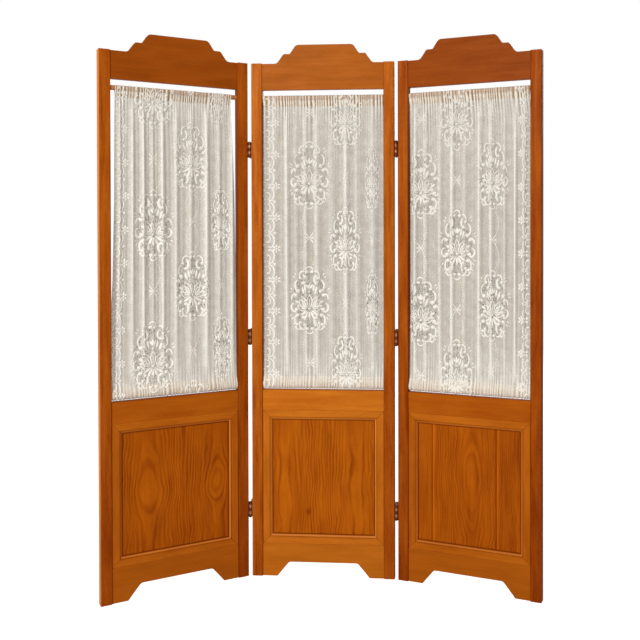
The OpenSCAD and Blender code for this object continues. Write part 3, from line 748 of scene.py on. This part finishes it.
def bent_line(x, z, angle, length, bend, steps):
    """A line from (x, z) that turns by its bend: its shares of the way, places and directions."""
    t = np.linspace(0, 1, steps)
    turn = np.radians(angle + bend * t)
    step = length / (steps - 1)
    px = x + np.concatenate([[0], np.cumsum(step * np.cos(turn[1:]))])
    pz = z + np.concatenate([[0], np.cumsum(step * np.sin(turn[1:]))])
    return t, px, pz, turn


def petal(x, z, angle, length, width, bend=0.0):
    t, px, pz, _ = bent_line(x, z, angle, length, bend, 8)
    breadth = width * np.maximum(np.sin(math.pi * np.clip(t, 0.03, 0.97)) ** 0.7, 0.12)
    return ribbon(px, pz, breadth, 2)


def outlined(x, z, angle, length, width, bend=0.0, thread=3.7):
    """A pointed petal drawn as its two edges and a rib."""
    t, px, pz, turn = bent_line(x, z, angle, length, bend, 9)
    half = width / 2 * np.sin(math.pi * t ** 0.85)
    breadth = thread * (0.45 + 0.55 * np.sin(math.pi * t))
    edges = [ribbon(px - way * half * np.sin(turn), pz + way * half * np.cos(turn), breadth)
             for way in (1, -1)]
    return edges + [ribbon(px[1:6], pz[1:6], 0.6 * breadth[1:6])]


def both_sides(strokes):
    return strokes + [s[:, ::-1] * (-1, 1) for s in strokes]


def medallion():
    """A tall wreath of curled scrolls, with a crown at each end, round a lily and its bud."""
    half = []
    for way in (1, -1):
        half += [
            scroll(23, way * 80, (13, 16), way * 118, way * -150, 0.0, 6.0), dot(34, way * 73, 5.4),
            scroll(29, way * 69, (13, 17), way * 118, way * 128, 0.0, 9.5), dot(25, way * 56, 6.0),
            dot(8, way * 93, 6.0),
            petal(50, way * 74, way * 35, 10, 4.4), petal(47, way * 82, way * 58, 10, 4.4),
        ]
    half += [
        scroll(35, 48, (15, 21), 70, -130, 0.0, 6.6), dot(40, 30, 7.4),
        scroll(51, 6, (12, 15), 105, -120, 0.0, 6.4), dot(48, 16, 6.0),
        scroll(51, -22, (13, 16), 70, -215, 0.2, 7.4, 15), dot(46, -30, 6.8),
        scroll(38, -64, (14, 21), 75, -140, 0.0, 6.0), dot(42, -49, 7.2),
        scroll(38, -88, (8, 8), 20, -190, 0.0, 6.2), dot(43, -79, 5.4),
        petal(61, 34, 40, 11, 4.4), petal(63, 26, 12, 11, 4.4), petal(60, -46, -30, 11, 4.4),
        petal(57, -55, -55, 11, 4.4),
        petal(35, -11, 38, 16, 9), petal(35, -15, -30, 11, 7),
        petal(3, 38, 62, 16, 7.5), petal(12, 28, 72, 24, 8.5, 14), petal(19, 20, 58, 26, 10, 22),
    ]
    half += outlined(7, -24, 66, 44, 16, -12) + outlined(10, -26, 34, 40, 18, 22)
    half += outlined(12, -28, -6, 30, 16, 30)
    half += [petal(6, -33, -38, 32, 9.5, 12), petal(4, -36, -68, 32, 9.5, 8)]
    whole = both_sides(half) + outlined(0, -24, 90, 44, 17)
    whole += [scroll(0, way * 99, (11, 11), 0, way * 180, 0.0, 5.4) for way in (1, -1)]
    whole += [petal(0, 36, 90, 20, 9), dot(0, 28, 4.0), petal(0, -38, -90, 26, 8), dot(0, -28, 4.6)]
    return whole


def crossing():
    """Two beaded bands that cross between medallions and bow out to meet them."""
    half = []
    for way in (1, -1):
        half += [petal(1, way * 2, way * 48, 20, 4.0), petal(3, 0, way * 14, 13, 3.4)]
        for t in (np.arange(BEADS) + 0.5) / BEADS:
            bow = 24 * math.sin(math.pi * (0.10 + 0.80 * t)) ** 0.8
            half.append(dot(bow, way * (14 + 76 * t), 1.7))
    return [dot(0, 0, 3.4)] + both_sides(half)


def border_unit(way, flip):
    """One link of the running scroll along a selvage, which bulges the given way."""
    strokes = [
        scroll(-12, 0, (24, 25), 76, -152, 0.0, 6.2), dot(-6, -23, 5.6), dot(-8, 20, 4.8),
        scroll(-14, -6, (11, 13), 110, -210, 0.25, 5.4, 11), dot(-13, 4, 3.6), dot(-25, 12, 3.0),
        dot(-27, -4, 2.4), dot(-22, -18, 3.0), dot(17, 18, 2.6), petal(8, -22, -20, 11, 5.4),
    ]
    return [s * (way, flip) if way * flip > 0 else s[:, ::-1] * (way, flip) for s in strokes]


def rosette():
    strokes = [dot(0, 0, 4)]
    for k in range(ROSETTE_PETALS):
        angle = 90 + 360 * k / ROSETTE_PETALS
        x, z = 4 * math.cos(math.radians(angle)), 4 * math.sin(math.radians(angle))
        strokes.append(petal(x, z, angle, 10, 8.0))
    return strokes


# ---- lace: the cloth ----

# Each curtain's pattern columns: where one medallion sits on the hanging cloth (u and z), and half
# the width that it shows between its folds, in metres.
LACE_COLUMNS = {
    "left": ((-0.069, 1.150, 0.060), (0.054, 0.957, 0.051), (0.148, 1.167, 0.027)),
    "middle": ((-0.047, 1.315, 0.063), (0.074, 1.100, 0.048), (0.161, 1.303, 0.021)),
    "right": ((-0.162, 1.282, 0.060), (-0.040, 1.087, 0.051), (0.078, 1.308, 0.046)),
}
# How many repeats each column has above and below that medallion.
REPEATS = 3
# How wide the scrolled border is drawn along the left and the right edge of each curtain, the
# number of its links and how many make a repeat, and how far in its links and rosettes lie.
LACE_BORDERS = {"left": (0.80, 0.0), "middle": (1.0, 0.0), "right": (0.0, 0.85)}
LINKS = 36
REPEAT_LINKS = 8
CHAIN_PLACE = 30 * MM
ROSETTE_PLACE = 49 * MM
# How thick the pattern lies on the cloth, how much more each stroke stands out than the one before
# it, to keep strokes that cross apart, and how far from the cloth's edges it ends.
MOTIF_THICK = 0.9 * MM
STROKE_STEP = 0.16 * MM
STROKE_LEVELS = 4
EDGE_MARGIN = 1.5 * MM

# Bright folds of each curtain, u in metres.
FOLDS = {
    "left": (-0.171, -0.133, -0.099, -0.070, -0.041, 0.003, 0.048, 0.100, 0.143, 0.184),
    "middle": (-0.166, -0.120, -0.090, -0.060, -0.022, 0.025, 0.075, 0.110, 0.161),
    "right": (-0.181, -0.148, -0.098, -0.056, -0.017, 0.033, 0.071, 0.114, 0.149, 0.176),
}
FOLD_DEPTH = 8.0 * MM
FOLD_LEAN = 3.0 * MM
# How much the folds differ in height, and the share of a finer ripple between them.
FOLD_UNEVEN = 0.22
FOLD_RIPPLE = 0.15
# How far each edge of a curtain stays from the stile: metres at each share of the way down.
EDGE_GAPS = {
    "left": (((0, 0.019), (0.35, 0.018), (0.62, 0.012), (0.78, 0.005), (1, 0.004)),
             ((0, 0.024), (0.15, 0.018), (0.33, 0.010), (0.6, 0.006), (0.8, 0.004), (1, 0.004))),
    "middle": (((0, 0.004), (0.08, 0.0025), (1, 0.0025)), ((0, 0.003), (1, 0.0025))),
    "right": (((0, 0.006), (0.5, 0.005), (1, 0.0025)), ((0, 0.009), (0.06, 0.003), (1, 0.003))),
}
# The fine pleats sewn in at the pockets: their number, depth and reach from the seam, how strong
# they are at the top and at the bottom seam, and how strong they stay in between.
FINE_GATHERS = 42
GATHER_DEPTH = 1.5 * MM
GATHER_REACH = 55 * MM
GATHER_HOLD = (0.92, 0.55)
GATHER_LEFT = 0.08
# What makes them uneven in pace and height: amount, waves across the cloth, and shift in waves
# from leaf to leaf. Then the amount and the waves for their reach.
GATHER_PACE = ((0.42, 3.3, 0.31), (0.22, 8.1, 0.17))
GATHER_HEIGHT = (0.36, 5.2, 0.23)
GATHER_ENDS = (0.4, 4.7)
# The pockets: how far from the rod's axis each seam lies and how far the cloth stands out there,
# how close it lies to the rod, how far the top and the bottom pocket hang clear of it, and what
# their material reads for its painted light: how strong the pleats of each are, and how far the
# cloth stands out.
SEAM_DROP = 27 * MM
SEAM_DEPTH = 1.2 * MM
POCKET_CLEARANCE = 0.7 * MM
POCKET_SLACK = (0.0, 4.4 * MM)
POCKET_LIGHTS = (1.0, 0.75)
POCKET_STAND = 0.2
# The grid of the cloth.
SHEET_COLUMNS = 340
SHEET_ROWS = 60
POCKET_STEPS = 20
ROW_SAMPLES = 3000


def sway(s, k, amount, waves, shift):
    return amount * np.sin(math.tau * (waves * s + shift * k))


class Cloth:
    """The gathered cloth of one leaf, with the place of every point of the flat cloth."""

    def __init__(self, leaf):
        self.leaf = leaf
        top, bottom = (leaf.mesh_points(p)[:, 2] for p in ("top_rod", "bottom_rod"))
        self.rod_z = [(z.min() + z.max()) / 2 for z in (top, bottom)]
        self.top_z = self.rod_z[0] - SEAM_DROP
        self.length = self.top_z - (self.rod_z[1] + SEAM_DROP)
        self.opening = (leaf.mesh_points("left_board")[:, 0].min(),
                        leaf.mesh_points("right_board")[:, 0].max())
        # The pocket's path: straight from the seam to the rod, round it and straight back.
        self.radius = np.ptp(top) / 2 + POCKET_CLEARANCE
        self.lean = math.asin(self.radius / SEAM_DROP)
        self.straight = math.sqrt(SEAM_DROP ** 2 - self.radius ** 2)
        self.wrap = 2 * self.straight + (math.pi + 2 * self.lean) * self.radius
        folds = FOLDS[leaf.name]
        self.fold_places = (2 * folds[0] - folds[1],) + folds + (2 * folds[-1] - folds[-2],)
        self.build()

    def span(self, h):
        left, right = (np.interp(h, *zip(*gaps)) for gaps in EDGE_GAPS[self.leaf.name])
        return self.opening[0] + left, self.opening[1] - right

    def gather(self, s):
        """Fine pleats sewn in at the pockets, from -1 to 1."""
        k = self.leaf.index
        count = FINE_GATHERS * s + sum(sway(s, k, *pace) for pace in GATHER_PACE)
        return np.sin(math.tau * count) * (1 - GATHER_HEIGHT[0] + sway(s, k, *GATHER_HEIGHT))

    def fold(self, u, h):
        """Main folds, from -1 to 1, that lean a little on their way down."""
        k = self.leaf.index
        u = u + FOLD_LEAN * (h - 0.5) * np.sin(31 * u + k)
        phase = math.tau * np.interp(u, self.fold_places, np.arange(len(self.fold_places)))
        crest = 2 * (0.5 + 0.5 * np.cos(phase)) ** 2
        crest = crest * (1 - FOLD_UNEVEN + FOLD_UNEVEN * np.cos(0.38 * phase + 1.7 * k)) - 1
        ripple = np.cos(2 * phase + 2.1 * k + 2 * h)
        return (1 - FOLD_RIPPLE) * crest + FOLD_RIPPLE * ripple

    def depth(self, u, s, h):
        """How far the cloth stands in front of or behind the rods."""
        edge = min(h, 1 - h) * self.length
        amount, waves = GATHER_ENDS
        reach = GATHER_REACH * (1 + amount * np.sin(math.tau * waves * s + self.leaf.index))
        full = SEAM_DEPTH + (FOLD_DEPTH - SEAM_DEPTH) * max(math.sin(math.pi * h), 0) ** 0.6
        settle = 1 - math.exp(-edge / (0.5 * GATHER_REACH))
        hold = GATHER_LEFT + np.interp(h, (0.0, 1.0), GATHER_HOLD) * np.exp(-edge / reach)
        stand, pleat = settle * self.fold(u, h), hold * self.gather(s)
        return -full * stand - GATHER_DEPTH * pleat, stand, pleat

    def sheet_row(self, h):
        """One level row of the sheet, its points evenly spaced along the cloth."""
        samples = np.linspace(0, 1, ROW_SAMPLES)
        left, right = self.span(h)
        u = left + (right - left) * samples
        y, stand, pleat = self.depth(u, samples, h)
        run = np.concatenate([[0], np.cumsum(np.hypot(np.diff(u), np.diff(y)))])
        at = np.linspace(0, run[-1], SHEET_COLUMNS + 1)
        u, y, stand, pleat, share = (np.interp(at, run, v) for v in (u, y, stand, pleat, samples))
        z = np.full(SHEET_COLUMNS + 1, self.top_z - h * self.length)
        return (np.stack([u, y, z], axis=-1), np.stack([stand, pleat], axis=-1), share, run[-1])

    def pocket_row(self, seam, s, end, run):
        """A row of the top (0) or bottom (1) pocket, so far along the cloth from the seam in
        front. Each row is worked out as for the top one."""
        side = 1 if run < self.wrap / 2 else -1
        run = min(run, self.wrap - run)
        if run < self.straight:
            puff = run / self.straight
            angle = -self.lean
            y = -self.radius * math.cos(angle) * puff
            z = -SEAM_DROP + (SEAM_DROP + self.radius * math.sin(angle)) * puff
        else:
            puff = 1.0
            angle = -self.lean + (run - self.straight) / self.radius
            y, z = -self.radius * math.cos(angle), self.radius * math.sin(angle)
            z += POCKET_SLACK[end] * max(math.sin(angle), 0) ** 3
        pleat = self.gather(s)
        push = GATHER_DEPTH * puff * (0.5 + 0.5 * pleat)
        y = side * (y - push * math.cos(angle)) + seam[:, 1] * (1 - puff)
        z = z + push * math.sin(angle)
        row = np.stack([seam[:, 0], y, self.rod_z[end] + (-z if end else z)], axis=-1)
        return row, np.stack([np.full(len(s), POCKET_STAND), pleat * POCKET_LIGHTS[end]], axis=-1)

    def build(self):
        """Lays the grid of the cloth, its rows closer together near the seams."""
        steps = np.arange(SHEET_ROWS + 1) / SHEET_ROWS
        levels = 0.6 * steps + 0.2 * (1 - np.cos(math.pi * steps))
        rows, shapes, shares, widths = zip(*(self.sheet_row(h) for h in levels))
        runs = self.wrap * np.arange(1, POCKET_STEPS + 1) / POCKET_STEPS
        top = [self.pocket_row(rows[0], shares[0], 0, run) for run in runs[::-1]]
        low = [self.pocket_row(rows[-1], shares[-1], 1, run) for run in runs]
        self.grid, self.shape = (
            np.array([t[k] for t in top] + list(sheet) + [b[k] for b in low])
            for k, sheet in enumerate((rows, shapes)))
        self.down = np.concatenate([-runs[::-1], levels * self.length, self.length + runs])
        normal = np.cross(np.gradient(self.grid, axis=1), np.gradient(self.grid, axis=0))
        self.normals = normal / np.linalg.norm(normal, axis=-1, keepdims=True)

        self.width = float(np.mean(widths))
        middle_u = rows[SHEET_ROWS // 2][:, 0]
        flat_a = np.linspace(0, self.width, SHEET_COLUMNS + 1)
        spread = self.width / np.ptp(middle_u)
        self.columns = [(float(np.interp(u, middle_u, flat_a)), self.top_z - z,
                         float(half * spread / MEDALLION[0]))
                        for u, z, half in LACE_COLUMNS[self.leaf.name]]

    def place(self, flat, lift):
        """Leaf-frame places of flat points (a, b): a from the left edge, b down from the seam."""
        i = np.clip(flat[..., 0] / self.width * SHEET_COLUMNS, 0, SHEET_COLUMNS - 1e-6)
        j = np.interp(flat[..., 1], self.down, np.arange(len(self.down)))
        j = np.clip(j, 0, len(self.down) - 1 - 1e-6)
        i0, j0 = i.astype(int), j.astype(int)
        fi, fj = (i - i0)[..., None], (j - j0)[..., None]

        def blend(grid):
            top = grid[j0, i0] * (1 - fi) + grid[j0, i0 + 1] * fi
            low = grid[j0 + 1, i0] * (1 - fi) + grid[j0 + 1, i0 + 1] * fi
            return top * (1 - fj) + low * fj

        return blend(self.grid) + lift * blend(self.normals)


def quads(rows, columns):
    """The faces of a grid of points."""
    return [(j * columns + i, j * columns + i + 1, (j + 1) * columns + i + 1, (j + 1) * columns + i)
            for j in range(rows - 1) for i in range(columns - 1)]


def make_object(name, points, faces, materials, maps=None):
    mesh = bpy.data.meshes.new(name)
    mesh.from_pydata([tuple(p) for p in points], [], faces)
    corners = np.empty(len(mesh.loops), dtype=int)
    mesh.loops.foreach_get("vertex_index", corners)
    for map_name, places in (maps or {}).items():
        layer = mesh.uv_layers.new(name=map_name)
        layer.data.foreach_set("uv", np.asarray(places)[corners].ravel())
    mesh.polygons.foreach_set("use_smooth", [True] * len(mesh.polygons))
    for material in materials:
        mesh.materials.append(material)
    mesh.update()
    obj = bpy.data.objects.new(name, mesh)
    SCENE.collection.objects.link(obj)
    return obj


def make_curtain(cloth):
    leaf = cloth.leaf
    columns, rows = SHEET_COLUMNS + 1, len(cloth.down)
    flat = np.stack(np.meshgrid(np.linspace(0, cloth.width, columns), cloth.down), axis=-1)
    maps = {"flat": flat.reshape(-1, 2), "shape": cloth.shape.reshape(-1, 2)}
    materials = [net_material(cloth)] + [pocket_material(cloth, end) for end in POCKETS]
    curtain = make_object(leaf.node("lace_curtain"), leaf.world(cloth.grid.reshape(-1, 3)),
                          quads(rows, columns), materials, maps)
    row_slots = [1] * POCKET_STEPS + [0] * SHEET_ROWS + [2] * POCKET_STEPS
    curtain.data.polygons.foreach_set("material_index", np.repeat(row_slots, SHEET_COLUMNS))
    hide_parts(leaf.node("curtain"))
    return curtain


def lace_strokes(cloth):
    """Every stroke of one curtain's pattern on the flat cloth, and how far it stands out."""
    borders = LACE_BORDERS[cloth.leaf.name]
    low_a, high_a = BORDER_WIDTH * borders[0], cloth.width - BORDER_WIDTH * borders[1]
    placed = []
    for a, b, stretch in cloth.columns:
        for turn in range(-REPEATS, REPEATS + 1):
            placed.append((medallion(), a, b + turn * REPEAT, stretch, low_a, high_a))
            placed.append((crossing(), a, b + (turn + 0.5) * REPEAT, stretch, low_a, high_a))
    pitch = REPEAT / REPEAT_LINKS
    start_b = cloth.columns[1][1] - REPEATS * REPEAT
    for way, edge, wide in zip((1, -1), (0, cloth.width), borders):
        if wide:
            links = [(border_unit(way, 1 if k % 2 else -1), CHAIN_PLACE, k) for k in range(LINKS)]
            links += [(rosette(), ROSETTE_PLACE, k + 0.5) for k in range(0, LINKS, 2)]
            placed += [(strokes, edge + way * inwards * wide, start_b + k * pitch, wide,
                        0, cloth.width) for strokes, inwards, k in links]
    low_b, high_b = -cloth.wrap / 2, cloth.length + cloth.wrap / 2
    for strokes, a, b, stretch, from_a, to_a in placed:
        for level, stroke in enumerate(strokes):
            flat = np.stack([a + stroke[..., 0] * stretch * MM, b - stroke[..., 1] * MM], axis=-1)
            inside = ((flat[..., 0] > from_a + EDGE_MARGIN) & (flat[..., 0] < to_a - EDGE_MARGIN)
                      & (flat[..., 1] > low_b) & (flat[..., 1] < high_b)).all(axis=1)
            unbroken = inside.any() and inside.sum() == np.ptp(np.flatnonzero(inside)) + 1
            if unbroken and inside.sum() >= 3:
                yield flat[inside], STROKE_STEP * (level % STROKE_LEVELS)


def make_motifs(cloth, material):
    """The dense pattern of the lace: thin closed strips that follow the folds of the cloth."""
    points, faces = [], []
    first = 0
    for flat, rise in lace_strokes(cloth):
        n, m = flat.shape[:2]
        points += [cloth.place(flat, way * (MOTIF_THICK / 2 + rise)).reshape(-1, 3)
                   for way in (1, -1)]
        front = quads(n, m)
        rim = [j * m for j in range(n)] + [(n - 1) * m + i for i in range(1, m)]
        rim += [j * m + m - 1 for j in range(n - 2, -1, -1)] + list(range(m - 2, 0, -1))
        back = n * m
        faces += [tuple(first + k for k in f) for f in front]
        faces += [tuple(first + back + k for k in reversed(f)) for f in front]
        faces += [(first + p, first + q, first + back + q, first + back + p)
                  for p, q in zip(rim, rim[1:] + rim[:1])]
        first += 2 * back
    return make_object(cloth.leaf.node("lace_pattern"),
                       cloth.leaf.world(np.concatenate(points)), faces, [material])


# ---- assembly ----

make_camera()
make_world()
make_floor()
make_lamps()
dress_hinges()
thread = motif_material()
for leaf in [Leaf(i) for i in range(len(LEAVES))]:
    dress_wood(leaf)
    cloth = Cloth(leaf)
    curtain = make_curtain(cloth)
    motifs = make_motifs(cloth, thread)
    for piece in (curtain, motifs):
        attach(piece, leaf.body)
    leaf.node("top_rod")
    leaf.node("bottom_rod")

SCENE.view_settings.view_transform = "Standard"
